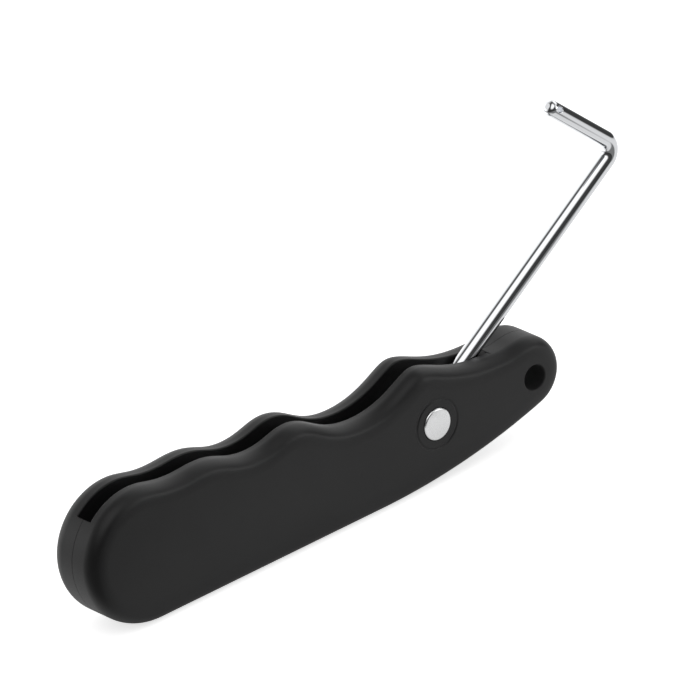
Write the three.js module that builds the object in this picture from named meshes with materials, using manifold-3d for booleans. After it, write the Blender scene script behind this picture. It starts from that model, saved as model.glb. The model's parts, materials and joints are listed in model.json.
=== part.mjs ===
// Folding string winder. A steel rod, bent into an L with a small eye near its tip,
// swings on a rivet out of a slot between two moulded handle shells. Open, it leans
// on the end wall of the slot; closed, the whole rod lies inside the handle.
//
// Millimetres, +Z up. The handle lies along X with its butt at -X and its lanyard
// nose at +X, and stands on its straight back. Y is its thickness, front at -Y.
// Every shape is drawn round the pivot axis, and the finished group is then moved
// to put the origin at the bottom centre of the whole object's box.

import * as THREE from 'three';
import { mergeVertices } from 'three/addons/utils/BufferGeometryUtils.js';
import Module from 'manifold-3d';

// Handle outline, measured from the pivot.
const HANDLE_LENGTH = 95;
const HANDLE_THICKNESS = 10.2;
const ROUNDING_INSET = 2;
const ROUNDING_DEPTH = 2.8;
const BACK_Z = -10.55;
const BUTT_X = -68.9;
const BUTT_CENTRE_Z = 1.5;
const LOWER_BUTT_X = -56.4;
const NOSE_RADIUS = 6;
const NOSE_Z = 0.1;
const BACK_END_X = -11.6;

// Crests and hollows of the finger side, from the butt to the top of the nose.
const FINGER_WAVE = [
  { x: -58, z: 12.1, handle: 0.35 },
  { x: -49.8, z: 10.9, handle: 0.5 },
  { x: -45.4, z: 11.1, handle: 0.45 },
  { x: -34.8, z: 8.8, handle: 0.45 },
  { x: -27.2, z: 10.1, handle: 0.35 },
  { x: -13.8, z: 5.7, handle: 0.55 },
  { x: -1.4, z: 9.4, handle: 0.2 },
  { x: 14.5, z: 5.6, handle: 0.6 },
];
const NOSE_WAVE_HANDLE = 0.5;

// Slot and pocket that take the rod.
const SLOT_WIDTH = 3;
const SLOT_BUTT_X = -65.6;
const POCKET_FLOOR_Z = -8.9;
const LEG_POCKET_X = -44.1;
const CHANNEL_X = -40.1;
const CHANNEL_FLOOR_Z = -2.3;
const HUB_CLEARANCE_RADIUS = 4.8;
const STOP_GAP = 0.2;
const STOP_WALL_LENGTH = 40;
const SEAM_GAP = 0.1;

// Rod.
const ROD_RADIUS = 1.35;
const ROD_OPEN_ANGLE = THREE.MathUtils.degToRad(34);
const ROD_OFFSET = 1.7;
const ROD_CORNER = 53.7;
const BEND_ANGLE = THREE.MathUtils.degToRad(104);
const BEND_RADIUS = 2.4;
const LEG_LENGTH = 17.6;
const TIP_ROUNDING = 0.9;
const STRING_EYE_WIDTH = 1;
const STRING_EYE_LENGTH = 1.3;
const STRING_EYE_SETBACK = 1.6;
const STRING_EYE_TURN = THREE.MathUtils.degToRad(20);
const PIVOT_EYE_RADIUS = 4.2;
const PIVOT_EYE_THICKNESS = 2.2;
const PIVOT_EYE_BORE = 1.66;
const ROD_START = 3.3;

// Pivot rivet, in two halves: the front one's pin is pressed into the rear one's barrel.
const RIVET_HEAD_RADIUS = 2.65;
const RIVET_HEAD_UNDERSIDE = 4.1;
const RIVET_HEAD_RIM = 5.3;
const RIVET_SHOULDER_RADIUS = 1.6;
const RIVET_SHOULDER_Y = 5.4;
const RIVET_HEAD_CROWN = 5.45;
const RIVET_PIN_END = 2.6;
const RIVET_BORE_FLOOR = 2.9;
const RIVET_BARREL_END = 3.9;
const RIVET_BARREL_RADIUS = 1.6;
const RIVET_BORE_RADIUS = 1.05;
const RIVET_PIN_RADIUS = 1;
const RIVET_RECESS_RADIUS = 2.72;
const RIVET_RECESS_FLOOR = 4.05;
const RIVET_HOLE_RADIUS = 1.75;
const RING_GROOVE_RADIUS = 4.1;
const RING_GROOVE_WIDTH = 0.4;
const RING_GROOVE_DEPTH = 0.2;

// Washers between the rod's eye and the shells.
const WASHER_RADIUS = 3.2;
const WASHER_INNER_Y = 1.2;
const WASHER_THICKNESS = 0.4;
const WASHER_SEAT_RADIUS = 3.4;
const FRONT_SEAT_Y = 2;
const REAR_SEAT_Y = 1.65;
const SPRING_INNER_Y = 1.65;
const SPRING_THICKNESS = 0.2;
const SPRING_CONE_RISE = 0.1;

// Lanyard hole, and the moulded pegs and cored cells inside the shells.
const LANYARD_X = 20.2;
const LANYARD_Z = -0.15;
const LANYARD_RADIUS = 2.05;
const PEG_PLACES = [[-33.6, -6.4], [-11.1, -6.4], [13.3, -2.6]];
const PEG_RADIUS = 1.2;
const PEG_LENGTH = 2.2;
const PEG_CLEARANCE = 0.15;
const CORE_CELLS = 3;
const CORE_START_X = -30.6;
const CORE_CELL_LENGTH = 4.8;
const CORE_RIB = 0.9;
const CORE_LOW_Z = -8.6;
const CORE_HIGH_Z = -3.8;
const CORE_DEPTH = 3.2;

// Facets.
const WAVE_STEPS = 6;
const ARC_STEPS = 10;
const BELLY_STEPS = 5;
const ROUNDING_STEPS = 4;
const ROUND_SIDES = 32;
const RING_SIDES = 48;
const SMALL_SIDES = 16;
const BEND_STEPS = 7;
const TIP_STEPS = 4;

// Reach of a cutting tool past the plastic, in the plane of the handle and through it.
const FAR = 80;
const CLEAR = 20;
const OVERLAP = 1;
const MERGE_DISTANCE = 1e-4;

const HALF_THICKNESS = HANDLE_THICKNESS / 2;
const NOSE_X = BUTT_X + HANDLE_LENGTH - NOSE_RADIUS;
const LEG_ANGLE = ROD_OPEN_ANGLE + BEND_ANGLE;

const blackPlastic = new THREE.MeshStandardMaterial({ color: 0x1b1b1c, roughness: 0.5, metalness: 0 });
const chrome = new THREE.MeshStandardMaterial({ color: 0xd9dadc, roughness: 0.08, metalness: 1 });
const satinSteel = new THREE.MeshStandardMaterial({ color: 0xc9cacc, roughness: 0.3, metalness: 1 });
const springSteel = new THREE.MeshStandardMaterial({ color: 0x77797c, roughness: 0.35, metalness: 1 });

const wasm = await Module();
wasm.setup();

// ---- solids ----

// Turns a closed three.js geometry into a solid: shared vertices are merged,
// collapsed triangles are dropped, and the faces are made to point out.
function solidOf(geometry) {
  const bare = new THREE.BufferGeometry();
  bare.setAttribute('position', geometry.getAttribute('position'));
  bare.setIndex(geometry.index);
  const merged = mergeVertices(bare, MERGE_DISTANCE);
  const positions = merged.getAttribute('position').array;
  const corners = merged.index.array;
  const triangles = [];
  for (let i = 0; i < corners.length; i += 3) {
    const [a, b, c] = [corners[i], corners[i + 1], corners[i + 2]];
    if (a !== b && b !== c && c !== a) triangles.push(a, b, c);
  }
  if (signedVolume(positions, triangles) < 0) triangles.reverse();
  const mesh = new wasm.Mesh({
    numProp: 3,
    vertProperties: new Float32Array(positions),
    triVerts: new Uint32Array(triangles),
  });
  return new wasm.Manifold(mesh);
}

function signedVolume(positions, triangles) {
  const corner = (index) => new THREE.Vector3().fromArray(positions, index * 3);
  let volume = 0;
  for (let i = 0; i < triangles.length; i += 3) {
    const [a, b, c] = [corner(triangles[i]), corner(triangles[i + 1]), corner(triangles[i + 2])];
    volume += a.dot(b.cross(c)) / 6;
  }
  return volume;
}

function geometryOf(solid) {
  const mesh = solid.getMesh();
  const geometry = new THREE.BufferGeometry();
  geometry.setAttribute('position', new THREE.BufferAttribute(mesh.vertProperties, 3));
  geometry.setIndex(new THREE.BufferAttribute(mesh.triVerts, 1));
  geometry.computeVertexNormals();
  return geometry;
}

// A flat outline in X and Z, given its thickness from lowY to highY.
function plate(shape, lowY, highY) {
  const geometry = new THREE.ExtrudeGeometry(shape, {
    depth: highY - lowY,
    bevelEnabled: false,
    curveSegments: ARC_STEPS,
  });
  geometry.translate(0, 0, -highY);
  geometry.rotateX(Math.PI / 2);
  return solidOf(geometry);
}

// A round bar along Y, centred at x and z.
function barAlongY(radius, lowY, highY, x = 0, z = 0, sides = ROUND_SIDES) {
  const geometry = new THREE.CylinderGeometry(radius, radius, highY - lowY, sides);
  geometry.translate(x, (lowY + highY) / 2, z);
  return solidOf(geometry);
}

// A body turned about the Y axis from a profile of [radius, y] points.
function turned(profile, sides = ROUND_SIDES) {
  const points = profile.map(([radius, y]) => new THREE.Vector2(radius, y));
  return solidOf(new THREE.LatheGeometry(points, sides));
}

function box(low, high) {
  const size = high.map((value, axis) => value - low[axis]);
  const geometry = new THREE.BoxGeometry(...size);
  geometry.translate(...low.map((value, axis) => value + size[axis] / 2));
  return solidOf(geometry);
}

// ---- handle outline ----

function ellipsePoints(centreX, centreZ, radiusX, radiusZ, fromAngle, toAngle, steps) {
  const clockwise = toAngle < fromAngle;
  const curve = new THREE.EllipseCurve(centreX, centreZ, radiusX, radiusZ, fromAngle, toAngle, clockwise);
  return curve.getPoints(steps);
}

// The finger side: each stretch between a crest and a hollow leaves both level.
function fingerSidePoints() {
  const noseTop = { x: NOSE_X, z: NOSE_Z + NOSE_RADIUS, handle: NOSE_WAVE_HANDLE };
  const stations = [...FINGER_WAVE, noseTop];
  const points = [];
  for (let i = 0; i + 1 < stations.length; i += 1) {
    const [from, to] = [stations[i], stations[i + 1]];
    const run = to.x - from.x;
    const curve = new THREE.CubicBezierCurve(
      new THREE.Vector2(from.x, from.z),
      new THREE.Vector2(from.x + run * from.handle, from.z),
      new THREE.Vector2(to.x - run * to.handle, to.z),
      new THREE.Vector2(to.x, to.z),
    );
    points.push(...curve.getPoints(WAVE_STEPS).slice(0, -1));
  }
  return points;
}

// The back rises to the nose on one wide arc, tangent to the straight back and to the nose.
function bellyArc() {
  const run = NOSE_X - BACK_END_X;
  const rise = NOSE_Z - BACK_Z;
  const radius = (run ** 2 + rise ** 2 - NOSE_RADIUS ** 2) / (2 * (rise - NOSE_RADIUS));
  const endAngle = Math.atan2(rise - radius, run);
  return { radius, endAngle };
}

function handleOutline() {
  const { radius, endAngle } = bellyArc();
  const topOfButt = FINGER_WAVE[0];
  const quarter = Math.PI / 2;
  const nose = ellipsePoints(
    NOSE_X, NOSE_Z, NOSE_RADIUS, NOSE_RADIUS, quarter, endAngle, ARC_STEPS + 4);
  const belly = ellipsePoints(
    BACK_END_X, BACK_Z + radius, radius, radius, endAngle, -quarter, BELLY_STEPS);
  const lowerButt = ellipsePoints(
    LOWER_BUTT_X, BUTT_CENTRE_Z, LOWER_BUTT_X - BUTT_X, BUTT_CENTRE_Z - BACK_Z,
    -quarter, -2 * quarter, ARC_STEPS);
  const upperButt = ellipsePoints(
    topOfButt.x, BUTT_CENTRE_Z, topOfButt.x - BUTT_X, topOfButt.z - BUTT_CENTRE_Z,
    2 * quarter, quarter, ARC_STEPS);
  return [
    ...fingerSidePoints(),
    ...nose,
    ...belly.slice(1),
    ...lowerButt,
    ...upperButt.slice(1, -1),
  ];
}

// The whole handle as one rounded block, before it is split and hollowed.
function handleBlock() {
  const geometry = new THREE.ExtrudeGeometry(new THREE.Shape(handleOutline()), {
    depth: HANDLE_THICKNESS - 2 * ROUNDING_DEPTH,
    bevelEnabled: true,
    bevelThickness: ROUNDING_DEPTH,
    bevelSize: ROUNDING_INSET,
    bevelOffset: -ROUNDING_INSET,
    bevelSegments: ROUNDING_STEPS,
  });
  geometry.translate(0, 0, ROUNDING_DEPTH - HALF_THICKNESS);
  geometry.rotateX(Math.PI / 2);
  return solidOf(geometry);
}

// ---- rod directions in the XZ plane ----

// A point so far along the open rod and so far to its upper side.
function besideRod(along, across) {
  const cos = Math.cos(ROD_OPEN_ANGLE);
  const sin = Math.sin(ROD_OPEN_ANGLE);
  return new THREE.Vector3(along * cos - across * sin, 0, along * sin + across * cos);
}

// ---- handle shells ----

// Slot, rod channel and the deeper pocket that takes the leg, open at the top.
// The right-hand wall is the stop that the open rod leans on.
function rodPocket() {
  const stopOffset = ROD_OFFSET + ROD_RADIUS + STOP_GAP;
  const stopTop = besideRod(STOP_WALL_LENGTH, -stopOffset);
  const channelAngle = Math.PI + Math.asin(-CHANNEL_FLOOR_Z / HUB_CLEARANCE_RADIUS);
  const stopAngle = 2 * Math.PI + ROD_OPEN_ANGLE - Math.asin(stopOffset / HUB_CLEARANCE_RADIUS);
  const shape = new THREE.Shape();
  shape.moveTo(SLOT_BUTT_X, stopTop.z);
  shape.lineTo(SLOT_BUTT_X, BUTT_CENTRE_Z);
  shape.absellipse(
    LOWER_BUTT_X, BUTT_CENTRE_Z, LOWER_BUTT_X - SLOT_BUTT_X, BUTT_CENTRE_Z - POCKET_FLOOR_Z,
    Math.PI, 1.5 * Math.PI, false);
  shape.lineTo(LEG_POCKET_X, POCKET_FLOOR_Z);
  shape.lineTo(CHANNEL_X, CHANNEL_FLOOR_Z);
  shape.absarc(0, 0, HUB_CLEARANCE_RADIUS, channelAngle, stopAngle, false);
  shape.lineTo(stopTop.x, stopTop.z);
  return plate(shape, -SLOT_WIDTH / 2, SLOT_WIDTH / 2);
}

function rivetOpening(side) {
  const outer = side * CLEAR;
  const floor = side * RIVET_RECESS_FLOOR;
  const recess = barAlongY(RIVET_RECESS_RADIUS, Math.min(floor, outer), Math.max(floor, outer));
  return recess.add(barAlongY(RIVET_HOLE_RADIUS, Math.min(0, outer), Math.max(0, outer)));
}

function ringGroove(side) {
  const inner = RING_GROOVE_RADIUS - RING_GROOVE_WIDTH / 2;
  const outer = RING_GROOVE_RADIUS + RING_GROOVE_WIDTH / 2;
  const floor = side * (HALF_THICKNESS - RING_GROOVE_DEPTH);
  const above = side * (HALF_THICKNESS + OVERLAP);
  const profile = [[inner, floor], [outer, floor], [outer, above], [inner, above], [inner, floor]];
  return turned(profile, RING_SIDES);
}

// Cells that keep the solid part of the moulding to an even wall.
function coredCells(side) {
  let cells = null;
  for (let i = 0; i < CORE_CELLS; i += 1) {
    const left = CORE_START_X + i * (CORE_CELL_LENGTH + CORE_RIB);
    const lowY = side < 0 ? -CORE_DEPTH : -OVERLAP;
    const highY = side < 0 ? OVERLAP : CORE_DEPTH;
    const cell = box([left, lowY, CORE_LOW_Z], [left + CORE_CELL_LENGTH, highY, CORE_HIGH_Z]);
    cells = cells ? cells.add(cell) : cell;
  }
  return cells;
}

// side is -1 for the front shell and 1 for the rear one.
function shell(side, washerSeatY) {
  const keepLow = side < 0 ? -CLEAR : SEAM_GAP / 2;
  const keepHigh = side < 0 ? -SEAM_GAP / 2 : CLEAR;
  const half = box([-FAR, keepLow, -FAR], [FAR, keepHigh, FAR]);
  const seatY = side * washerSeatY;
  const washerSeat = barAlongY(WASHER_SEAT_RADIUS, Math.min(0, seatY), Math.max(0, seatY));
  const lanyardHole = barAlongY(LANYARD_RADIUS, -CLEAR, CLEAR, LANYARD_X, LANYARD_Z);
  return handleBlock()
    .intersect(half)
    .subtract(rodPocket())
    .subtract(washerSeat)
    .subtract(rivetOpening(side))
    .subtract(ringGroove(side))
    .subtract(coredCells(side))
    .subtract(lanyardHole);
}

// The front shell has the sockets that the rear shell's pegs are pressed into.
function frontShell() {
  let solid = shell(-1, FRONT_SEAT_Y);
  for (const [x, z] of PEG_PLACES) {
    const depth = PEG_LENGTH + 2 * PEG_CLEARANCE;
    solid = solid.subtract(barAlongY(PEG_RADIUS + PEG_CLEARANCE, -depth, OVERLAP, x, z, SMALL_SIDES));
  }
  return solid;
}

function rearShell() {
  let solid = shell(1, REAR_SEAT_Y);
  for (const [x, z] of PEG_PLACES) {
    solid = solid.add(barAlongY(PEG_RADIUS, -PEG_LENGTH, OVERLAP, x, z, SMALL_SIDES));
  }
  return solid;
}

// ---- rod ----

// The rod's centre line: straight arm, round bend, straight leg. Its steps are
// spent on the bend, with one each for the arm and the leg.
class BentRodPath extends THREE.Curve {
  constructor() {
    super();
    this.steps = BEND_STEPS + 2;
    this.armEnd = ROD_CORNER - BEND_RADIUS * Math.tan(BEND_ANGLE / 2);
    this.legRun = LEG_LENGTH - BEND_RADIUS * Math.tan(BEND_ANGLE / 2);
  }

  turnAt(step) {
    const share = THREE.MathUtils.clamp((step - 1) / BEND_STEPS, 0, 1);
    return share * BEND_ANGLE;
  }

  getPointAt(u, target = new THREE.Vector3()) {
    const step = u * this.steps;
    if (step < 0.5) return target.copy(besideRod(ROD_START, -ROD_OFFSET));
    const turn = this.turnAt(step);
    const legAlong = step > this.steps - 0.5 ? this.legRun : 0;
    const along = this.armEnd + BEND_RADIUS * Math.sin(turn) + legAlong * Math.cos(turn);
    const across = BEND_RADIUS * (1 - Math.cos(turn)) + legAlong * Math.sin(turn);
    return target.copy(besideRod(along, across - ROD_OFFSET));
  }

  getTangentAt(u, target = new THREE.Vector3()) {
    const turn = ROD_OPEN_ANGLE + this.turnAt(u * this.steps);
    return target.set(Math.cos(turn), 0, Math.sin(turn));
  }
}

function roundBar(path, radius) {
  const circle = ellipsePoints(0, 0, radius, radius, 0, 2 * Math.PI, SMALL_SIDES);
  const section = new THREE.Shape(circle.slice(1));
  const geometry = new THREE.ExtrudeGeometry(section, {
    steps: path.steps,
    extrudePath: path,
    bevelEnabled: false,
  });
  return solidOf(geometry);
}

// Everything outside the rounded end of a bar that ends at y = 0 and lies along -Y.
function tipRoundingProfile() {
  const centre = new THREE.Vector2(ROD_RADIUS - TIP_ROUNDING, -TIP_ROUNDING);
  const arc = [];
  for (let i = 0; i <= TIP_STEPS; i += 1) {
    const angle = (i / TIP_STEPS) * (Math.PI / 2);
    const x = centre.x + TIP_ROUNDING * Math.sin(angle);
    arc.push(new THREE.Vector2(x, centre.y + TIP_ROUNDING * Math.cos(angle)));
  }
  return [
    ...arc,
    new THREE.Vector2(ROD_RADIUS + OVERLAP, -TIP_ROUNDING),
    new THREE.Vector2(ROD_RADIUS + OVERLAP, OVERLAP),
    new THREE.Vector2(arc[0].x, OVERLAP),
    arc[0],
  ];
}

function tipRoundingCutter(path) {
  const geometry = new THREE.LatheGeometry(tipRoundingProfile(), SMALL_SIDES);
  geometry.rotateZ(-Math.PI / 2);
  geometry.rotateY(-LEG_ANGLE);
  geometry.translate(...path.getPointAt(1).toArray());
  return solidOf(geometry);
}

// The eye for the string end: a hole through the leg along Y, turned a little
// round the leg so that its front mouth faces slightly up.
function stringEyeCutter(path) {
  const radius = STRING_EYE_WIDTH / 2;
  const geometry = new THREE.CylinderGeometry(radius, radius, 4 * ROD_RADIUS, SMALL_SIDES);
  geometry.scale(STRING_EYE_LENGTH / STRING_EYE_WIDTH, 1, 1);
  geometry.rotateX(STRING_EYE_TURN);
  geometry.translate(-STRING_EYE_SETBACK, 0, 0);
  geometry.rotateY(-LEG_ANGLE);
  geometry.translate(...path.getPointAt(1).toArray());
  return solidOf(geometry);
}

function winderRod() {
  const path = new BentRodPath();
  const half = PIVOT_EYE_THICKNESS / 2;
  return barAlongY(PIVOT_EYE_RADIUS, -half, half)
    .add(roundBar(path, ROD_RADIUS))
    .subtract(barAlongY(PIVOT_EYE_BORE, -CLEAR, CLEAR))
    .subtract(tipRoundingCutter(path))
    .subtract(stringEyeCutter(path));
}

// ---- rivet and washers ----

function rivetFrontHalf() {
  return turned([
    [0, -RIVET_HEAD_CROWN],
    [RIVET_SHOULDER_RADIUS, -RIVET_SHOULDER_Y],
    [RIVET_HEAD_RADIUS, -RIVET_HEAD_RIM],
    [RIVET_HEAD_RADIUS, -RIVET_HEAD_UNDERSIDE],
    [RIVET_PIN_RADIUS, -RIVET_HEAD_UNDERSIDE],
    [RIVET_PIN_RADIUS, RIVET_PIN_END],
    [0, RIVET_PIN_END],
  ]);
}

function rivetRearHalf() {
  return turned([
    [0, RIVET_HEAD_CROWN],
    [RIVET_SHOULDER_RADIUS, RIVET_SHOULDER_Y],
    [RIVET_HEAD_RADIUS, RIVET_HEAD_RIM],
    [RIVET_HEAD_RADIUS, RIVET_HEAD_UNDERSIDE],
    [RIVET_BARREL_RADIUS, RIVET_HEAD_UNDERSIDE],
    [RIVET_BARREL_RADIUS, -RIVET_BARREL_END],
    [RIVET_BORE_RADIUS, -RIVET_BARREL_END],
    [RIVET_BORE_RADIUS, RIVET_BORE_FLOOR],
    [0, RIVET_BORE_FLOOR],
  ]);
}

function flatWasher(side) {
  const inner = side * WASHER_INNER_Y;
  const outer = side * (WASHER_INNER_Y + WASHER_THICKNESS);
  return turned([
    [RIVET_HOLE_RADIUS, inner],
    [WASHER_RADIUS, inner],
    [WASHER_RADIUS, outer],
    [RIVET_HOLE_RADIUS, outer],
    [RIVET_HOLE_RADIUS, inner],
  ]);
}

// A coned spring washer that presses the front washer on the rod's eye.
function springWasher() {
  const low = -SPRING_INNER_Y;
  const rise = -SPRING_CONE_RISE;
  return turned([
    [RIVET_HOLE_RADIUS, low],
    [WASHER_RADIUS, low + rise],
    [WASHER_RADIUS, low + rise - SPRING_THICKNESS],
    [RIVET_HOLE_RADIUS, low - SPRING_THICKNESS],
    [RIVET_HOLE_RADIUS, low],
  ]);
}

// ---- assembly ----

const winder = new THREE.Group();

function addPiece(name, solid, material) {
  const mesh = new THREE.Mesh(geometryOf(solid), material);
  mesh.name = name;
  winder.add(mesh);
}

addPiece('front_shell', frontShell(), blackPlastic);
addPiece('rear_shell', rearShell(), blackPlastic);
addPiece('winder_rod', winderRod(), chrome);
addPiece('rivet_front_half', rivetFrontHalf(), satinSteel);
addPiece('rivet_rear_half', rivetRearHalf(), satinSteel);
addPiece('front_washer', flatWasher(-1), springSteel);
addPiece('rear_washer', flatWasher(1), springSteel);
addPiece('spring_washer', springWasher(), springSteel);

const bounds = new THREE.Box3().setFromObject(winder);
const middle = bounds.getCenter(new THREE.Vector3());
winder.position.set(-middle.x, 0, -bounds.min.z);

export default winder;
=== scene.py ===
"""Folding string winder: the finished look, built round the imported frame.

Shapes are drawn in millimetres round the rod's pivot, X along the handle and Z up,
with the front at -Y, and are moved into the frame, in metres, when they are done.
"""
import json
import math

import bmesh
import bpy
from mathutils import Matrix, Vector
from mathutils.kdtree import KDTree


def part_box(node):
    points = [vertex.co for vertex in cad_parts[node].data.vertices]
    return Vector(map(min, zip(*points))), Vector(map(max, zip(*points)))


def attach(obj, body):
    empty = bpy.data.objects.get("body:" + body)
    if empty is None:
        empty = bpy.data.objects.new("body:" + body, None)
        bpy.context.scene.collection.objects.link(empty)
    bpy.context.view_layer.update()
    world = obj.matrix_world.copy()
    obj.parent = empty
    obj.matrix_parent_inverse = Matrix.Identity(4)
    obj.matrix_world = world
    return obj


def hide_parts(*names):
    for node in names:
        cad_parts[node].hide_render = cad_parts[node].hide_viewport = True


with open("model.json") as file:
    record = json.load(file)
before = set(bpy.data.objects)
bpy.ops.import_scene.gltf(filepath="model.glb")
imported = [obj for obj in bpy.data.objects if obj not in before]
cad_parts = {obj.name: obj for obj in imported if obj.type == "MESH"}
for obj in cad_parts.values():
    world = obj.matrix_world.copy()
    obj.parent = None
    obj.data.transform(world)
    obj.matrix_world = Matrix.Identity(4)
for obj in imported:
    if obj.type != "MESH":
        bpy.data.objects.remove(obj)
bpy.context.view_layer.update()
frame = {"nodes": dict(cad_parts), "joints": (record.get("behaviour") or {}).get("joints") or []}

MM = 0.001
PIVOT = Vector(frame["joints"][0]["pos_m"])
TO_FRAME = Matrix.Translation(PIVOT) @ Matrix.Scale(MM, 4)
HANDLE_LOW = (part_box("front_shell")[0] - PIVOT) / MM
HANDLE_HIGH = (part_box("rear_shell")[1] - PIVOT) / MM

# Handle outline.
BACK_Z = HANDLE_LOW.z
BUTT_X = HANDLE_LOW.x
HALF_THICKNESS = HANDLE_HIGH.y
NOSE_RADIUS = 6
NOSE_X = HANDLE_HIGH.x - NOSE_RADIUS
NOSE_Z = 0.1
BUTT_CENTRE_Z = 1.5
LOWER_BUTT_X = -56.4
BACK_END_X = -11.6
# Crests and hollows of the finger side: x, z and how far their level handles reach.
FINGER_WAVE = [
    (-58, 12.1, 0.35),
    (-49.8, 10.9, 0.5),
    (-45.4, 11.1, 0.45),
    (-34.8, 8.8, 0.45),
    (-27.2, 10.1, 0.35),
    (-13.8, 5.7, 0.55),
    (-1.4, 9.4, 0.2),
    (14.5, 5.6, 0.6),
    (NOSE_X, NOSE_Z + NOSE_RADIUS, 0.5),
]
OUTLINE_SPACING = 0.3
OUTLINE_SMOOTHING_PASSES = 8
NOSE_STEPS = 60
BELLY_STEPS = 60
BUTT_STEPS = 80

# Edge of the handle: how far the rounding reaches over the side, and down the rim. A
# wider radius is added where the surface tilts little from the flat side, and a crowding
# above 1 gathers the steps there.
ROUNDING_INSET = 1.7
ROUNDING_DROP = 2.4
ROUNDING_STEPS = 24
ROUNDING_CROWDING = 1.6
EASE_RADIUS = 7
EASE_TILT = math.radians(12)
SEAM_GAP = 0.006

# Slot and pocket.
SLOT_HALF_WIDTH = 1.5
SLOT_BUTT_X = -65.6
POCKET_FLOOR_Z = -8.9
LEG_POCKET_X = -44.1
CHANNEL_X = -40.1
CHANNEL_FLOOR_Z = -2.3
HUB_CLEARANCE_RADIUS = 4.8
STOP_GAP = 0.2
POCKET_STEPS = 24
HUB_STEPS = 32

# Rod.
ROD_RADIUS = 1.34
ROD_ANGLE = math.radians(34)
ROD_OFFSET = 1.7
ROD_START = 3.3
ROD_CORNER = 53.7
BEND_ANGLE = math.radians(104)
BEND_RADIUS = 2.4
LEG_LENGTH = 17.6
TIP_ROUNDING = 0.9
STRING_EYE_WIDTH = 1
STRING_EYE_LENGTH = 1.3
STRING_EYE_SETBACK = 1.6
STRING_EYE_TURN = math.radians(20)
PIVOT_EYE_RADIUS = 4.2
PIVOT_EYE_HALF = 1.1
PIVOT_EYE_BORE = 1.66
ARM_STEPS = 12
BEND_STEPS = 24
LEG_STEPS = 6
TIP_STEPS = 8

# Rivet, its recess and the ring round it.
HEAD_RADIUS = 2.65
HEAD_UNDERSIDE = 4.1
HEAD_RIM = 5.3
HEAD_CROWN = 5.45
HEAD_ROUNDING = 0.3
CROWN_STEPS = 12
RIM_STEPS = 5
PIN_END = 2.6
BORE_FLOOR = 2.9
BARREL_END = 3.9
BARREL_RADIUS = 1.6
BORE_RADIUS = 1.05
PIN_RADIUS = 1
PIN_CHAMFER = 0.2
RECESS_RADIUS = 2.72
RECESS_FLOOR = 4.05
RIVET_HOLE_RADIUS = 1.75
RING_RADIUS = 4.1
RING_HALF_WIDTH = 0.2
RING_DEPTH = 0.12
WASHER_SEAT_RADIUS = 3.4
FRONT_SEAT_Y = 2
REAR_SEAT_Y = 1.65

# Lanyard hole, pegs and cored cells.
LANYARD_X = 20.2
LANYARD_Z = -0.15
LANYARD_RADIUS = 2.05
PEG_PLACES = [(-33.6, -6.4), (-11.1, -6.4), (13.3, -2.6)]
PEG_RADIUS = 1.2
PEG_LENGTH = 2.2
PEG_CLEARANCE = 0.15
CORE_CELLS = 3
CORE_START_X = -30.6
CORE_CELL_LENGTH = 4.8
CORE_RIB = 0.9
CORE_LOW_Z = -8.6
CORE_HIGH_Z = -3.8
CORE_DEPTH = 3.2

# Rounding of the small edges, and the angle that makes an edge sharp. On the rod, only the
# edges this near the tip's end, or round the pivot eye, are rounded.
SEAM_EDGE = 0.06
SLOT_EDGE = 0.22
LANYARD_EDGE = 0.25
RECESS_EDGE = 0.08
ROD_EDGE = 0.08
SHARP_ANGLE = math.radians(28)
ROUNDED_TIP_REACH = 3
ROUNDED_EYE_REACH = 1.2 * PIVOT_EYE_RADIUS
SURFACE_MARGIN = 0.02

# How far cuts and pegs reach past the surface they start from, and how far a cut right
# through the handle reaches.
OVERLAP = 1
FAR = 20


# ---- meshes ----

def new_piece(name, bm):
    """A mesh object made from bm, with its faces pointing out."""
    bmesh.ops.recalc_face_normals(bm, faces=bm.faces)
    mesh = bpy.data.meshes.new(name)
    bm.to_mesh(mesh)
    bm.free()
    piece = bpy.data.objects.new(name, mesh)
    bpy.context.scene.collection.objects.link(piece)
    return piece


def prism(points, low_y, high_y):
    """A flat outline of (x, z) points, given its thickness from low_y to high_y."""
    bm = bmesh.new()
    low = [bm.verts.new((x, low_y, z)) for x, z in points]
    high = [bm.verts.new((x, high_y, z)) for x, z in points]
    bm.faces.new(low)
    bm.faces.new(high)
    for i in range(len(points)):
        after = (i + 1) % len(points)
        bm.faces.new((low[i], low[after], high[after], high[i]))
    return new_piece("shape", bm)


def rod_along_y(radius, low_y, high_y, x=0, z=0, sides=96):
    turn = [math.tau * i / sides for i in range(sides)]
    points = [(x + radius * math.cos(a), z + radius * math.sin(a)) for a in turn]
    return prism(points, low_y, high_y)


def block(low, high):
    points = [(low[0], low[2]), (high[0], low[2]), (high[0], high[2]), (low[0], high[2])]
    return prism(points, low[1], high[1])


def turned(name, profile, closed=False, sides=96):
    """A body turned about the Y axis from (radius, y) points that start and end on the
    axis, or that close on themselves."""
    bm = bmesh.new()
    rings = []
    for radius, y in profile:
        if radius == 0:
            rings.append([bm.verts.new((0, y, 0))] * sides)
            continue
        turn = [math.tau * i / sides for i in range(sides)]
        ring = [(radius * math.cos(a), y, radius * math.sin(a)) for a in turn]
        rings.append([bm.verts.new(place) for place in ring])
    pairs = list(zip(rings, rings[1:]))
    if closed:
        pairs.append((rings[-1], rings[0]))
    for first, second in pairs:
        for i in range(sides):
            after = (i + 1) % sides
            corners = [first[i], first[after], second[after], second[i]]
            bm.faces.new(list(dict.fromkeys(corners)))
    return new_piece(name, bm)


def apply_modifiers(piece):
    """Swaps the piece's mesh for the one its modifiers make."""
    graph = bpy.context.evaluated_depsgraph_get()
    mesh = bpy.data.meshes.new_from_object(piece.evaluated_get(graph), depsgraph=graph)
    piece.modifiers.clear()
    old = piece.data
    piece.data = mesh
    bpy.data.meshes.remove(old)


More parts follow.
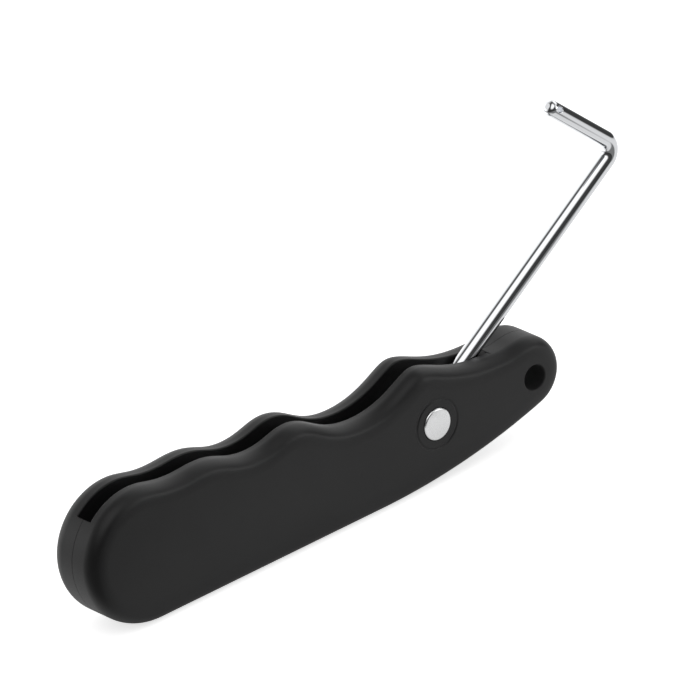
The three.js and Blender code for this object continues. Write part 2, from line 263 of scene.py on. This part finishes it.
def combine(piece, shape, operation="DIFFERENCE"):
    """Cuts the shape from the piece or joins it on, and removes the shape."""
    modifier = piece.modifiers.new("combine", "BOOLEAN")
    modifier.operation = operation
    modifier.solver = "EXACT"
    modifier.object = shape
    bpy.context.view_layer.update()
    apply_modifiers(piece)
    mesh = shape.data
    bpy.data.objects.remove(shape)
    bpy.data.meshes.remove(mesh)


def round_edges(piece, width_of, widest, steps=3):
    """Rounds the piece's sharp edges: width_of(start, end) gives an edge its width."""
    bm = bmesh.new()
    bm.from_mesh(piece.data)
    weight = bm.edges.layers.float.new("bevel_weight_edge")
    for edge in bm.edges:
        if len(edge.link_faces) != 2 or edge.calc_face_angle() < SHARP_ANGLE:
            continue
        edge[weight] = width_of(edge.verts[0].co, edge.verts[1].co) / widest
    bm.to_mesh(piece.data)
    bm.free()
    modifier = piece.modifiers.new("round", "BEVEL")
    modifier.limit_method = "WEIGHT"
    modifier.width = widest
    modifier.segments = steps
    modifier.use_clamp_overlap = False
    modifier.miter_outer = "MITER_ARC"
    bpy.context.view_layer.update()
    apply_modifiers(piece)


def finish_piece(piece, name, body, material):
    """Smooth shading, frame place, material and body."""
    piece.name = name
    piece.data.name = name
    for polygon in piece.data.polygons:
        polygon.use_smooth = True
    modifier = piece.modifiers.new("normals", "WEIGHTED_NORMAL")
    modifier.weight = 100
    bpy.context.view_layer.update()
    apply_modifiers(piece)
    piece.data.transform(TO_FRAME)
    piece.data.materials.clear()
    piece.data.materials.append(material)
    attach(piece, body)


# ---- handle outline ----

def arc(centre_x, centre_z, radius_x, radius_z, start, end, steps):
    """Points of an ellipse from one angle to another, in quarter turns."""
    turn = [(start + (end - start) * i / steps) * math.pi / 2 for i in range(steps + 1)]
    return [(centre_x + radius_x * math.cos(a), centre_z + radius_z * math.sin(a)) for a in turn]


def finger_side(steps=24):
    """Each stretch between a crest and a hollow leaves both level."""
    points = []
    for (x0, z0, handle0), (x1, z1, handle1) in zip(FINGER_WAVE, FINGER_WAVE[1:]):
        run = x1 - x0
        pull = (x0, x0 + run * handle0, x1 - run * handle1, x1)
        for i in range(steps):
            t = i / steps
            share = ((1 - t) ** 3, 3 * t * (1 - t) ** 2, 3 * t * t * (1 - t), t ** 3)
            x = sum(s * p for s, p in zip(share, pull))
            points.append((x, z0 * (share[0] + share[1]) + z1 * (share[2] + share[3])))
    return points


def rough_outline():
    """The outline clockwise from the top of the butt, as its curves give it."""
    run = NOSE_X - BACK_END_X
    rise = NOSE_Z - BACK_Z
    belly_radius = (run ** 2 + rise ** 2 - NOSE_RADIUS ** 2) / (2 * (rise - NOSE_RADIUS))
    belly_end = math.atan2(rise - belly_radius, run) / (math.pi / 2)
    top_x, top_z = FINGER_WAVE[0][:2]
    return [
        *finger_side(),
        *arc(NOSE_X, NOSE_Z, NOSE_RADIUS, NOSE_RADIUS, 1, belly_end, NOSE_STEPS),
        *arc(BACK_END_X, BACK_Z + belly_radius, belly_radius, belly_radius,
             belly_end, -1, BELLY_STEPS),
        *arc(LOWER_BUTT_X, BUTT_CENTRE_Z, LOWER_BUTT_X - BUTT_X, BUTT_CENTRE_Z - BACK_Z,
             -1, -2, BUTT_STEPS),
        *arc(top_x, BUTT_CENTRE_Z, top_x - BUTT_X, top_z - BUTT_CENTRE_Z, 2, 1, BUTT_STEPS),
    ]


def even_points(points, spacing):
    """The closed line through the points, cut into equal steps."""
    places = [Vector(p) for p in points]
    pairs = zip(places, [places[-1], *places])
    corners = [place for place, before in pairs if (place - before).length > 1e-6]
    lengths = [(b - a).length for a, b in zip(corners, [*corners[1:], corners[0]])]
    total = sum(lengths)
    count = round(total / spacing)
    found, side, walked = [], 0, 0.0
    for i in range(count):
        target = total * i / count
        while walked + lengths[side] < target:
            walked += lengths[side]
            side += 1
        share = (target - walked) / lengths[side]
        found.append(corners[side].lerp(corners[(side + 1) % len(corners)], share))
    return found


def smooth_outline():
    points = even_points(rough_outline(), OUTLINE_SPACING)
    for _ in range(OUTLINE_SMOOTHING_PASSES):
        last = len(points) - 1
        points = [
            p * 0.5 + (points[i - 1] + points[0 if i == last else i + 1]) * 0.25
            for i, p in enumerate(points)
        ]
    return points


OUTLINE = smooth_outline()


def inward_directions():
    count = len(OUTLINE)
    found = []
    for i in range(count):
        along = OUTLINE[(i + 1) % count] - OUTLINE[i - 1]
        found.append(Vector((along.y, -along.x)).normalized())
    return found


INWARD = inward_directions()


# ---- shells ----

def edge_profile():
    """(inset, drop) points of the rounded edge, from the rim to the flat side."""
    inset_eased, drop_eased, before = 0, 0, math.pi / 2
    points = []
    for i in range(ROUNDING_STEPS + 1):
        tilt = math.pi / 2 * (1 - i / ROUNDING_STEPS) ** ROUNDING_CROWDING
        middle = (tilt + before) / 2
        length = EASE_RADIUS * math.exp(-(middle / EASE_TILT) ** 2) * (before - tilt)
        inset_eased += length * math.cos(middle)
        drop_eased += length * math.sin(middle)
        before = tilt
        angle = math.atan2(ROUNDING_DROP * math.cos(tilt), ROUNDING_INSET * math.sin(tilt))
        inset = ROUNDING_INSET * (1 - math.cos(angle)) + inset_eased
        points.append((inset, ROUNDING_DROP * math.sin(angle) + drop_eased))
    depth = points[-1][1]
    return [(inset, depth - reached) for inset, reached in points]


def half_handle(side):
    """One solid half of the handle, from the seam to its rounded outer side."""
    profile = [(0, SEAM_GAP / 2)]
    profile += [(inset, HALF_THICKNESS - drop) for inset, drop in edge_profile()]
    bm = bmesh.new()
    rings = []
    for inset, reach in profile:
        ring = []
        for point, inward in zip(OUTLINE, INWARD):
            place = point + inward * inset
            ring.append(bm.verts.new((place.x, side * reach, place.y)))
        rings.append(ring)
    count = len(OUTLINE)
    for lower, upper in zip(rings, rings[1:]):
        for i in range(count):
            after = (i + 1) % count
            bm.faces.new((lower[i], lower[after], upper[after], upper[i]))
    bm.faces.new(rings[0])
    bm.faces.new(rings[-1])
    return new_piece("half", bm)


def beside_rod(along, across):
    """A point so far along the open rod and so far to its upper side, as (x, z)."""
    cos, sin = math.cos(ROD_ANGLE), math.sin(ROD_ANGLE)
    return along * cos - across * sin, along * sin + across * cos


def rod_pocket(side):
    """The shape cut out for one side of the slot, the channel and the leg's pocket."""
    stop_offset = ROD_OFFSET + ROD_RADIUS + STOP_GAP
    stop_top = beside_rod(2 * FAR, -stop_offset)
    quarter = math.pi / 2
    channel_turn = 2 + math.asin(-CHANNEL_FLOOR_Z / HUB_CLEARANCE_RADIUS) / quarter
    stop_turn = 4 + (ROD_ANGLE - math.asin(stop_offset / HUB_CLEARANCE_RADIUS)) / quarter
    points = [
        (SLOT_BUTT_X, stop_top[1]),
        *arc(LOWER_BUTT_X, BUTT_CENTRE_Z, LOWER_BUTT_X - SLOT_BUTT_X,
             BUTT_CENTRE_Z - POCKET_FLOOR_Z, 2, 3, POCKET_STEPS),
        (LEG_POCKET_X, POCKET_FLOOR_Z),
        (CHANNEL_X, CHANNEL_FLOOR_Z),
        *arc(0, 0, HUB_CLEARANCE_RADIUS, HUB_CLEARANCE_RADIUS, channel_turn, stop_turn,
             HUB_STEPS),
        stop_top,
    ]
    return prism(points, *sorted((side * SLOT_HALF_WIDTH, -side * OVERLAP)))


def ring_groove(side, steps=8):
    """The shape of a shallow ring groove with a round floor."""
    profile = []
    for i in range(steps + 1):
        share = 2 * i / steps - 1
        depth = RING_DEPTH * (1 - share ** 2)
        profile.append((RING_RADIUS + share * RING_HALF_WIDTH, side * (HALF_THICKNESS - depth)))
    outer, inner = profile[-1][0], profile[0][0]
    above = side * (HALF_THICKNESS + OVERLAP)
    profile += [(outer, above), (inner, above)]
    return turned("shape", profile, closed=True)


def edge_width(outline_tree):
    """How much each sharp edge of a shell is rounded, by where it is."""
    def width(start, end):
        middle = (start + end) / 2
        reach = abs(middle.y)
        _, _, distance = outline_tree.find((middle.x, 0, middle.z))
        if distance < 0.5 * OUTLINE_SPACING + SURFACE_MARGIN:
            if abs(start.y - end.y) > 0.5 * (end - start).length:
                return 0
            return SEAM_EDGE if reach < SEAM_GAP else SLOT_EDGE
        if reach > HALF_THICKNESS - SURFACE_MARGIN:
            from_hole = math.hypot(middle.x - LANYARD_X, middle.z - LANYARD_Z)
            return LANYARD_EDGE if from_hole < 2 * LANYARD_RADIUS else RECESS_EDGE
        return 0
    return width


def shell(side, seat_y):
    """Half of the handle: the front one has the sockets, and the rear one the pegs."""
    piece = half_handle(side)
    combine(piece, rod_pocket(side))
    combine(piece, rod_along_y(WASHER_SEAT_RADIUS, *sorted((-side * OVERLAP, side * seat_y))))
    combine(piece, rod_along_y(RECESS_RADIUS, *sorted((side * RECESS_FLOOR, side * FAR))))
    combine(piece, rod_along_y(RIVET_HOLE_RADIUS, -FAR, FAR))
    combine(piece, rod_along_y(LANYARD_RADIUS, -FAR, FAR, LANYARD_X, LANYARD_Z))
    for i in range(CORE_CELLS):
        left = CORE_START_X + i * (CORE_CELL_LENGTH + CORE_RIB)
        right = left + CORE_CELL_LENGTH
        low_y, high_y = sorted((-side * OVERLAP, side * CORE_DEPTH))
        combine(piece, block((left, low_y, CORE_LOW_Z), (right, high_y, CORE_HIGH_Z)))
    for x, z in PEG_PLACES:
        if side < 0:
            depth = PEG_LENGTH + 2 * PEG_CLEARANCE
            socket = rod_along_y(PEG_RADIUS + PEG_CLEARANCE, -depth, OVERLAP, x, z, sides=48)
            combine(piece, socket)
        else:
            peg = rod_along_y(PEG_RADIUS, -PEG_LENGTH, OVERLAP, x, z, sides=48)
            combine(piece, peg, "UNION")
    combine(piece, ring_groove(side))
    tree = KDTree(len(OUTLINE))
    for i, point in enumerate(OUTLINE):
        tree.insert((point.x, 0, point.y), i)
    tree.balance()
    round_edges(piece, edge_width(tree), LANYARD_EDGE)
    return piece


# ---- rod ----

def rod_line():
    """Each ring of the rod from the pivot eye to the tip: how far along and across its
    centre is, how far the rod has bent there, and the ring's radius."""
    stations = [(ROD_START, -ROD_OFFSET, 0, ROD_RADIUS)]
    tangent = BEND_RADIUS * math.tan(BEND_ANGLE / 2)
    arm_end = ROD_CORNER - tangent
    for i in range(1, ARM_STEPS):
        along = ROD_START + (arm_end - ROD_START) * i / ARM_STEPS
        stations.append((along, -ROD_OFFSET, 0, ROD_RADIUS))
    for i in range(BEND_STEPS + 1):
        turn = BEND_ANGLE * i / BEND_STEPS
        along = arm_end + BEND_RADIUS * math.sin(turn)
        across = BEND_RADIUS * (1 - math.cos(turn)) - ROD_OFFSET
        stations.append((along, across, turn, ROD_RADIUS))
    start_along, start_across = stations[-1][:2]
    cos, sin = math.cos(BEND_ANGLE), math.sin(BEND_ANGLE)
    leg = LEG_LENGTH - tangent
    steps = range(1, LEG_STEPS + 1)
    runs = [((leg - TIP_ROUNDING) * i / LEG_STEPS, ROD_RADIUS) for i in steps]
    for i in range(1, TIP_STEPS + 1):
        angle = math.pi / 2 * i / TIP_STEPS
        reach = leg - TIP_ROUNDING * (1 - math.sin(angle))
        runs.append((reach, ROD_RADIUS - TIP_ROUNDING * (1 - math.cos(angle))))
    for reach, radius in runs:
        along = start_along + reach * cos
        across = start_across + reach * sin
        stations.append((along, across, BEND_ANGLE, radius))
    return stations


def bent_rod(sides=64):
    bm = bmesh.new()
    rings = []
    for along, across, turn, radius in rod_line():
        x, z = beside_rod(along, across)
        angle = ROD_ANGLE + turn
        upward = Vector((-math.sin(angle), 0, math.cos(angle)))
        sideways = Vector((0, 1, 0))
        ring = []
        for i in range(sides):
            around = math.tau * i / sides
            offset = upward * (radius * math.cos(around)) + sideways * (radius * math.sin(around))
            ring.append(bm.verts.new(Vector((x, 0, z)) + offset))
        rings.append(ring)
    for first, second in zip(rings, rings[1:]):
        for i in range(sides):
            after = (i + 1) % sides
            bm.faces.new((first[i], first[after], second[after], second[i]))
    bm.faces.new(rings[0])
    bm.faces.new(rings[-1])
    return new_piece("winder_rod_polished", bm)


def string_eye():
    """An oval bar through the leg near its tip, turned a little round the leg."""
    leg_angle = ROD_ANGLE + BEND_ANGLE
    bar = rod_along_y(STRING_EYE_WIDTH / 2, -4 * ROD_RADIUS, 4 * ROD_RADIUS, sides=48)
    tip_along, tip_across = rod_line()[-1][:2]
    x, z = beside_rod(tip_along, tip_across)
    place = Matrix.Translation((x, 0, z)) @ Matrix.Rotation(-leg_angle, 4, "Y")
    place = place @ Matrix.Translation((-STRING_EYE_SETBACK, 0, 0))
    place = place @ Matrix.Rotation(STRING_EYE_TURN, 4, "X")
    place = place @ Matrix.Scale(STRING_EYE_LENGTH / STRING_EYE_WIDTH, 4, (1, 0, 0))
    bar.data.transform(place)
    return bar


def winder_rod():
    piece = bent_rod()
    combine(piece, rod_along_y(PIVOT_EYE_RADIUS, -PIVOT_EYE_HALF, PIVOT_EYE_HALF), "UNION")
    combine(piece, rod_along_y(PIVOT_EYE_BORE, -FAR, FAR))
    combine(piece, string_eye())
    tip = Vector((*beside_rod(*rod_line()[-1][:2]), 0)).xzy

    def width(start, _):
        at_tip = (start - tip).length < ROUNDED_TIP_REACH
        at_pivot = start.length < ROUNDED_EYE_REACH
        return ROD_EDGE if at_tip or at_pivot else 0

    round_edges(piece, width, ROD_EDGE)
    return piece


# ---- rivet ----

def head_profile(side):
    """The rivet head from the middle of its low dome to its underside."""
    rim = HEAD_ROUNDING
    profile = []
    for i in range(CROWN_STEPS + 1):
        radius = (HEAD_RADIUS - rim) * i / CROWN_STEPS
        fall = (HEAD_CROWN - HEAD_RIM) * (radius / HEAD_RADIUS) ** 2
        profile.append((radius, side * (HEAD_CROWN - fall)))
    top = abs(profile[-1][1])
    for i in range(1, RIM_STEPS + 1):
        angle = math.pi / 2 * i / RIM_STEPS
        radius = HEAD_RADIUS - rim * (1 - math.sin(angle))
        profile.append((radius, side * (top - rim * (1 - math.cos(angle)))))
    profile.append((HEAD_RADIUS, side * HEAD_UNDERSIDE))
    return profile


def rivet_front_half():
    profile = head_profile(-1) + [
        (PIN_RADIUS, -HEAD_UNDERSIDE),
        (PIN_RADIUS, PIN_END - PIN_CHAMFER),
        (PIN_RADIUS - PIN_CHAMFER, PIN_END),
        (0, PIN_END),
    ]
    return turned("rivet_front_half_satin", profile)


def rivet_rear_half():
    profile = head_profile(1) + [
        (BARREL_RADIUS, HEAD_UNDERSIDE),
        (BARREL_RADIUS, -BARREL_END),
        (BORE_RADIUS, -BARREL_END),
        (BORE_RADIUS, BORE_FLOOR),
        (0, BORE_FLOOR),
    ]
    return turned("rivet_rear_half_satin", profile)


# ---- materials ----

PLASTIC_DARK = (0.0095, 0.0095, 0.0098)
PLASTIC_LIGHT = (0.0125, 0.0125, 0.0128)
CORED_ROUGHNESS = 0.95
CHROME = (0.80, 0.81, 0.83, 1)
RIVET_STEEL = (0.90, 0.905, 0.91, 1)
WASHER_DARK = (0.34, 0.345, 0.355)
WASHER_LIGHT = (0.42, 0.42, 0.43)
SPUN_RING_SPACING = 0.00012
# How closely the marks of the metals lie along X, Y and Z.
DRAWN_MARKS = (60, 5200, 5200)
BRUSHED_MARKS = (400, 400, 9000)


class Nodes:
    """Adds nodes to a tree and joins them up."""

    def __init__(self, tree):
        self.tree = tree
        tree.nodes.clear()

    def add(self, kind, inputs=None, **settings):
        node = self.tree.nodes.new(kind)
        for name, value in settings.items():
            setattr(node, name, value)
        for key, value in (inputs or {}).items():
            if isinstance(value, bpy.types.NodeSocket):
                self.tree.links.new(value, node.inputs[key])
            else:
                node.inputs[key].default_value = value
        return node

    def noise(self, vector, scale, detail=2.0, roughness=0.5):
        inputs = {"Vector": vector, "Scale": scale, "Detail": detail, "Roughness": roughness}
        return self.add("ShaderNodeTexNoise", inputs).outputs["Fac"]

    def spread(self, value, low, high, start=0.3, end=0.7, **settings):
        """Maps start..end to low..high. The default is the middle range of a texture."""
        inputs = {"Value": value, "From Min": start, "From Max": end, "To Min": low, "To Max": high}
        return self.add("ShaderNodeMapRange", inputs, **settings).outputs["Result"]

    def ramp(self, value, start, end, low=0.0, high=1.0):
        """Goes smoothly from low to high as the value goes from start to end."""
        return self.spread(value, low, high, start, end, interpolation_type="SMOOTHSTEP")

    def maths(self, operation, first, second):
        node = self.add("ShaderNodeMath", {0: first, 1: second}, operation=operation)
        return node.outputs["Value"]

    def vectors(self, operation, first, second):
        node = self.add("ShaderNodeVectorMath", {0: first, 1: second}, operation=operation)
        return node.outputs["Vector"]

    def length(self, vector):
        return self.add("ShaderNodeVectorMath", {0: vector}, operation="LENGTH").outputs["Value"]

    def along(self, vector, direction):
        inputs = {0: vector, 1: direction}
        return self.add("ShaderNodeVectorMath", inputs, operation="DOT_PRODUCT").outputs["Value"]

    def from_axis(self, place, centre):
        """How far the place is from the line along Y through the centre."""
        offset = self.vectors("SUBTRACT", place, centre)
        return self.length(self.vectors("MULTIPLY", offset, (1, 0, 1)))

    def blend(self, factor, first, second):
        node = self.add("ShaderNodeMix", data_type="RGBA")
        self.tree.links.new(factor, node.inputs[0])
        node.inputs[6].default_value = (*first, 1)
        node.inputs[7].default_value = (*second, 1)
        return node.outputs[2]

    def stretched(self, vector, angle, scale):
        """The vector turned about Y and scaled, for marks that run one way."""
        inputs = {"Vector": vector, "Angle": angle}
        rotate = self.add("ShaderNodeVectorRotate", inputs, rotation_type="Y_AXIS")
        return self.vectors("MULTIPLY", rotate.outputs["Vector"], scale)

    def bump(self, height, strength, distance, normal=None):
        inputs = {"Height": height, "Strength": strength, "Distance": distance}
        if normal is not None:
            inputs["Normal"] = normal
        return self.add("ShaderNodeBump", inputs).outputs["Normal"]

    def surface(self, **inputs):
        """The shader and its output. A socket's name has its spaces written as _."""
        named = {name.replace("_", " "): value for name, value in inputs.items()}
        shader = self.add("ShaderNodeBsdfPrincipled", named)
        self.add("ShaderNodeOutputMaterial", {"Surface": shader.outputs["BSDF"]})


def new_material(name):
    material = bpy.data.materials.new(name)
    material.use_nodes = True
    nodes = Nodes(material.node_tree)
    place = nodes.add("ShaderNodeTexCoord").outputs["Object"]
    return material, nodes, place


def black_plastic():
    """Matt moulded ABS: a fine spark-eroded grain, and gloss that varies slightly. The
    core pin leaves the lanyard hole dull."""
    material, nodes, place = new_material("black_plastic")
    cloud = nodes.noise(place, scale=90, detail=3)
    grain = nodes.noise(place, scale=7000, detail=3, roughness=0.6)
    pits = nodes.noise(place, scale=2600, detail=2)
    coarse = nodes.bump(pits, strength=0.10, distance=0.00002)
    fine = nodes.bump(grain, strength=0.16, distance=0.00001, normal=coarse)
    hole = PIVOT + Vector((LANYARD_X, 0, LANYARD_Z)) * MM
    hole_edge = (LANYARD_RADIUS + LANYARD_EDGE) * MM
    from_hole = nodes.from_axis(place, hole)
    cored = nodes.spread(from_hole, CORED_ROUGHNESS, 0, LANYARD_RADIUS * MM, hole_edge)
    nodes.surface(
        Base_Color=nodes.blend(nodes.spread(cloud, 0, 1), PLASTIC_DARK, PLASTIC_LIGHT),
        Roughness=nodes.maths("MAXIMUM", nodes.spread(grain, 0.40, 0.50), cored),
        Normal=fine,
        Specular_IOR_Level=0.35,
    )
    return material


def polished_chrome():
    """Bright plating over drawn wire: faint marks run along the arm."""
    material, nodes, place = new_material("polished_chrome")
    drawn = nodes.stretched(place, ROD_ANGLE, DRAWN_MARKS)
    lines = nodes.noise(drawn, scale=1, detail=3, roughness=0.6)
    ripple = nodes.noise(place, scale=380, detail=2)
    waves = nodes.bump(ripple, strength=0.08, distance=0.00004)
    nodes.surface(
        Base_Color=CHROME,
        Metallic=1,
        Roughness=nodes.spread(lines, 0.05, 0.10),
        Normal=nodes.bump(lines, strength=0.10, distance=0.00001, normal=waves),
    )
    return material


def satin_steel():
    """The spun rivet head: faint rings round the pivot, and a soft, slightly uneven shine."""
    material, nodes, place = new_material("satin_steel")
    radius = nodes.maths("MULTIPLY", nodes.from_axis(place, PIVOT), 1 / SPUN_RING_SPACING)
    line = nodes.add("ShaderNodeCombineXYZ", {"X": radius}).outputs["Vector"]
    rings = nodes.noise(line, scale=1, detail=3, roughness=0.65)
    cloud = nodes.noise(place, scale=900, detail=3)
    nodes.surface(
        Base_Color=RIVET_STEEL,
        Metallic=1,
        Roughness=nodes.spread(cloud, 0.20, 0.30),
        Normal=nodes.bump(rings, strength=0.12, distance=0.00002),
    )
    return material


def spring_steel():
    """Stamped washers: dull grey with a light brushed grain."""
    material, nodes, place = new_material("spring_steel")
    brushed = nodes.noise(nodes.stretched(place, 0, BRUSHED_MARKS), scale=1, detail=3)
    nodes.surface(
        Base_Color=nodes.blend(nodes.spread(brushed, 0, 1), WASHER_DARK, WASHER_LIGHT),
        Metallic=1,
        Roughness=nodes.spread(brushed, 0.30, 0.42),
        Normal=nodes.bump(brushed, strength=0.1, distance=0.00001),
    )
    return material


# ---- pieces ----

def build_pieces():
    plastic = black_plastic()
    chrome = polished_chrome()
    steel = satin_steel()
    front = shell(-1, FRONT_SEAT_Y)
    finish_piece(front, "front_shell_moulded", "handle", plastic)
    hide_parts("front_shell")
    rear = shell(1, REAR_SEAT_Y)
    finish_piece(rear, "rear_shell_moulded", "handle", plastic)
    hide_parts("rear_shell")
    rod = winder_rod()
    finish_piece(rod, "winder_rod_polished", "rod", chrome)
    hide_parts("winder_rod")
    front_rivet = rivet_front_half()
    finish_piece(front_rivet, "rivet_front_half_satin", "handle", steel)
    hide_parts("rivet_front_half")
    rear_rivet = rivet_rear_half()
    finish_piece(rear_rivet, "rivet_rear_half_satin", "handle", steel)
    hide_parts("rivet_rear_half")
    washer_steel = spring_steel()
    for name in ("front_washer", "rear_washer", "spring_washer"):
        node = frame["nodes"][name]
        node.data.materials.clear()
        node.data.materials.append(washer_steel)


# ---- studio ----

CAMERA_AZIMUTH = math.radians(-37.9)
CAMERA_ELEVATION = math.radians(26.35)
CAMERA_ROLL = math.radians(-6.46)
CAMERA_TARGET = Vector((-0.00145, 0, 0.02903))
CAMERA_DISTANCE = 1.6897
CAMERA_LENS = 586.4

# The floor, in metres. Its contact shadow reaches this far from the pieces.
FLOOR_HALF_SIZE = 6
FLOOR_COLOUR = (0.9, 0.9, 0.9, 1)
FLOOR_GLOW = 0.7
CONTACT_REACH = 0.05
# The lit patch: the direction that each edge faces, and where along it the edge starts and
# is full. The floor glows past both the strip's and the butt's edge, or past the nose's,
# and more at the back. The rest has a share of that.
STRIP_EDGE = ((0, 1, 0), -0.060, -0.035)
BUTT_EDGE = ((0.76, 0.65, 0), -0.057, -0.043)
NOSE_EDGE = ((0.91, 0.41, 0), 0.041, 0.061)
PATCH_FRONT_Y = -0.03
PATCH_BACK_Y = 0.06
PATCH_FRONT_GLOW = 0.82
PATCH_BACK_GLOW = 1.3
PATCH_OUTER_SHARE = 0.25
# How far from the middle the patch starts to fade, where it ends, and what is left there.
FADE_START = 0.2
FADE_END = 0.6
FADE_SHARE = 0.06

# Soft lights all round: name, azimuth from the front towards +X, elevation, the angles
# within which each is full and beyond which it is gone, and its strength.
SOFT_LIGHTS = [
    ("overhead", -48, 61, 12, 40, 1.3),
    ("back_wall", 168, 0, 15, 68, 1.25),
    ("side_fill", 40, 3, 5, 20, 3.4),
    ("left_wall", -140, 5, 10, 36, 1.1),
    ("front_high", 40, 35, 8, 28, 0.8),
    ("right_high", 100, 40, 10, 35, 1.2),
]
ROOM_LIGHT = 0.05
WHITE = (1, 1, 1, 1)


def direction_to(azimuth, elevation):
    """A unit vector, from the angles in radians. Azimuth 0 is the front, -Y."""
    return Vector((
        math.sin(azimuth) * math.cos(elevation),
        -math.cos(azimuth) * math.cos(elevation),
        math.sin(elevation),
    ))


def add_camera():
    right = Vector((math.cos(CAMERA_AZIMUTH), math.sin(CAMERA_AZIMUTH), 0))
    back = direction_to(CAMERA_AZIMUTH, CAMERA_ELEVATION)
    turn = Matrix((right, back.cross(right), back)).transposed()
    data = bpy.data.cameras.new("camera")
    data.lens = CAMERA_LENS
    data.clip_start = 0.1
    data.clip_end = 50
    camera = bpy.data.objects.new("camera", data)
    camera.matrix_world = (
        Matrix.Translation(CAMERA_TARGET + back * CAMERA_DISTANCE)
        @ turn.to_4x4()
        @ Matrix.Rotation(CAMERA_ROLL, 4, "Z")
    )
    bpy.context.scene.collection.objects.link(camera)
    bpy.context.scene.camera = camera


def lit_patch(nodes, place):
    """How strongly each place on the floor glows in what the pieces reflect."""
    def edge(direction, start, end):
        return nodes.ramp(nodes.along(place, direction), start, end)

    strip = nodes.maths("MULTIPLY", edge(*STRIP_EDGE), edge(*BUTT_EDGE))
    lit = nodes.maths("MAXIMUM", strip, edge(*NOSE_EDGE))
    lit = nodes.maths("MAXIMUM", lit, PATCH_OUTER_SHARE)
    depth = nodes.along(place, (0, 1, 0))
    glow = nodes.ramp(depth, PATCH_FRONT_Y, PATCH_BACK_Y, PATCH_FRONT_GLOW, PATCH_BACK_GLOW)
    near = nodes.ramp(nodes.length(place), FADE_START, FADE_END, 1, FADE_SHARE)
    return nodes.maths("MULTIPLY", nodes.maths("MULTIPLY", lit, glow), near)


def add_floor():
    """A white sweep. The camera sees it evenly lit. The pieces see a lit patch of it: the
    strip that the handle lies on and the part past its nose, brightest behind."""
    bm = bmesh.new()
    bmesh.ops.create_grid(bm, x_segments=2, y_segments=2, size=FLOOR_HALF_SIZE)
    floor = new_piece("floor", bm)
    material, nodes, place = new_material("floor_white")
    white = nodes.add("ShaderNodeBsdfDiffuse", {"Color": FLOOR_COLOUR}).outputs["BSDF"]
    glow = nodes.add("ShaderNodeEmission", {"Strength": FLOOR_GLOW}).outputs["Emission"]
    shown = nodes.add("ShaderNodeAddShader", {0: white, 1: glow}).outputs["Shader"]
    open_share = nodes.add("ShaderNodeAmbientOcclusion", {"Distance": CONTACT_REACH}).outputs["AO"]
    strength = nodes.maths("MULTIPLY", lit_patch(nodes, place), open_share)
    table = nodes.add("ShaderNodeEmission", {"Strength": strength}).outputs["Emission"]
    seen = nodes.add("ShaderNodeLightPath").outputs["Is Camera Ray"]
    mixed = nodes.add("ShaderNodeMixShader", {0: seen, 1: table, 2: shown}).outputs["Shader"]
    nodes.add("ShaderNodeOutputMaterial", {"Surface": mixed})
    floor.data.materials.append(material)


def add_world():
    """The soft lights, for the pieces, and plain white behind, for the camera."""
    world = bpy.data.worlds.new("studio")
    bpy.context.scene.world = world
    world.use_nodes = True
    nodes = Nodes(world.node_tree)
    direction = nodes.add("ShaderNodeTexCoord").outputs["Generated"]
    total = ROOM_LIGHT
    for _, azimuth, elevation, full, gone, strength in SOFT_LIGHTS:
        middle = direction_to(math.radians(azimuth), math.radians(elevation))
        start, end = math.cos(math.radians(gone)), math.cos(math.radians(full))
        light = nodes.ramp(nodes.along(direction, middle), start, end, 0, strength)
        total = nodes.maths("ADD", light, total)
    lit = nodes.add("ShaderNodeBackground", {"Color": WHITE, "Strength": total})
    plain = nodes.add("ShaderNodeBackground", {"Color": WHITE, "Strength": 1})
    seen = nodes.add("ShaderNodeLightPath").outputs["Is Camera Ray"]
    mixed = nodes.add("ShaderNodeMixShader", {0: seen, 1: lit.outputs[0], 2: plain.outputs[0]})
    nodes.add("ShaderNodeOutputWorld", {"Surface": mixed.outputs[0]})


def set_colours():
    view = bpy.context.scene.view_settings
    view.view_transform = "Standard"
    view.look = "None"
    view.exposure = 0
    view.gamma = 1


build_pieces()
add_camera()
add_floor()
add_world()
set_colours()
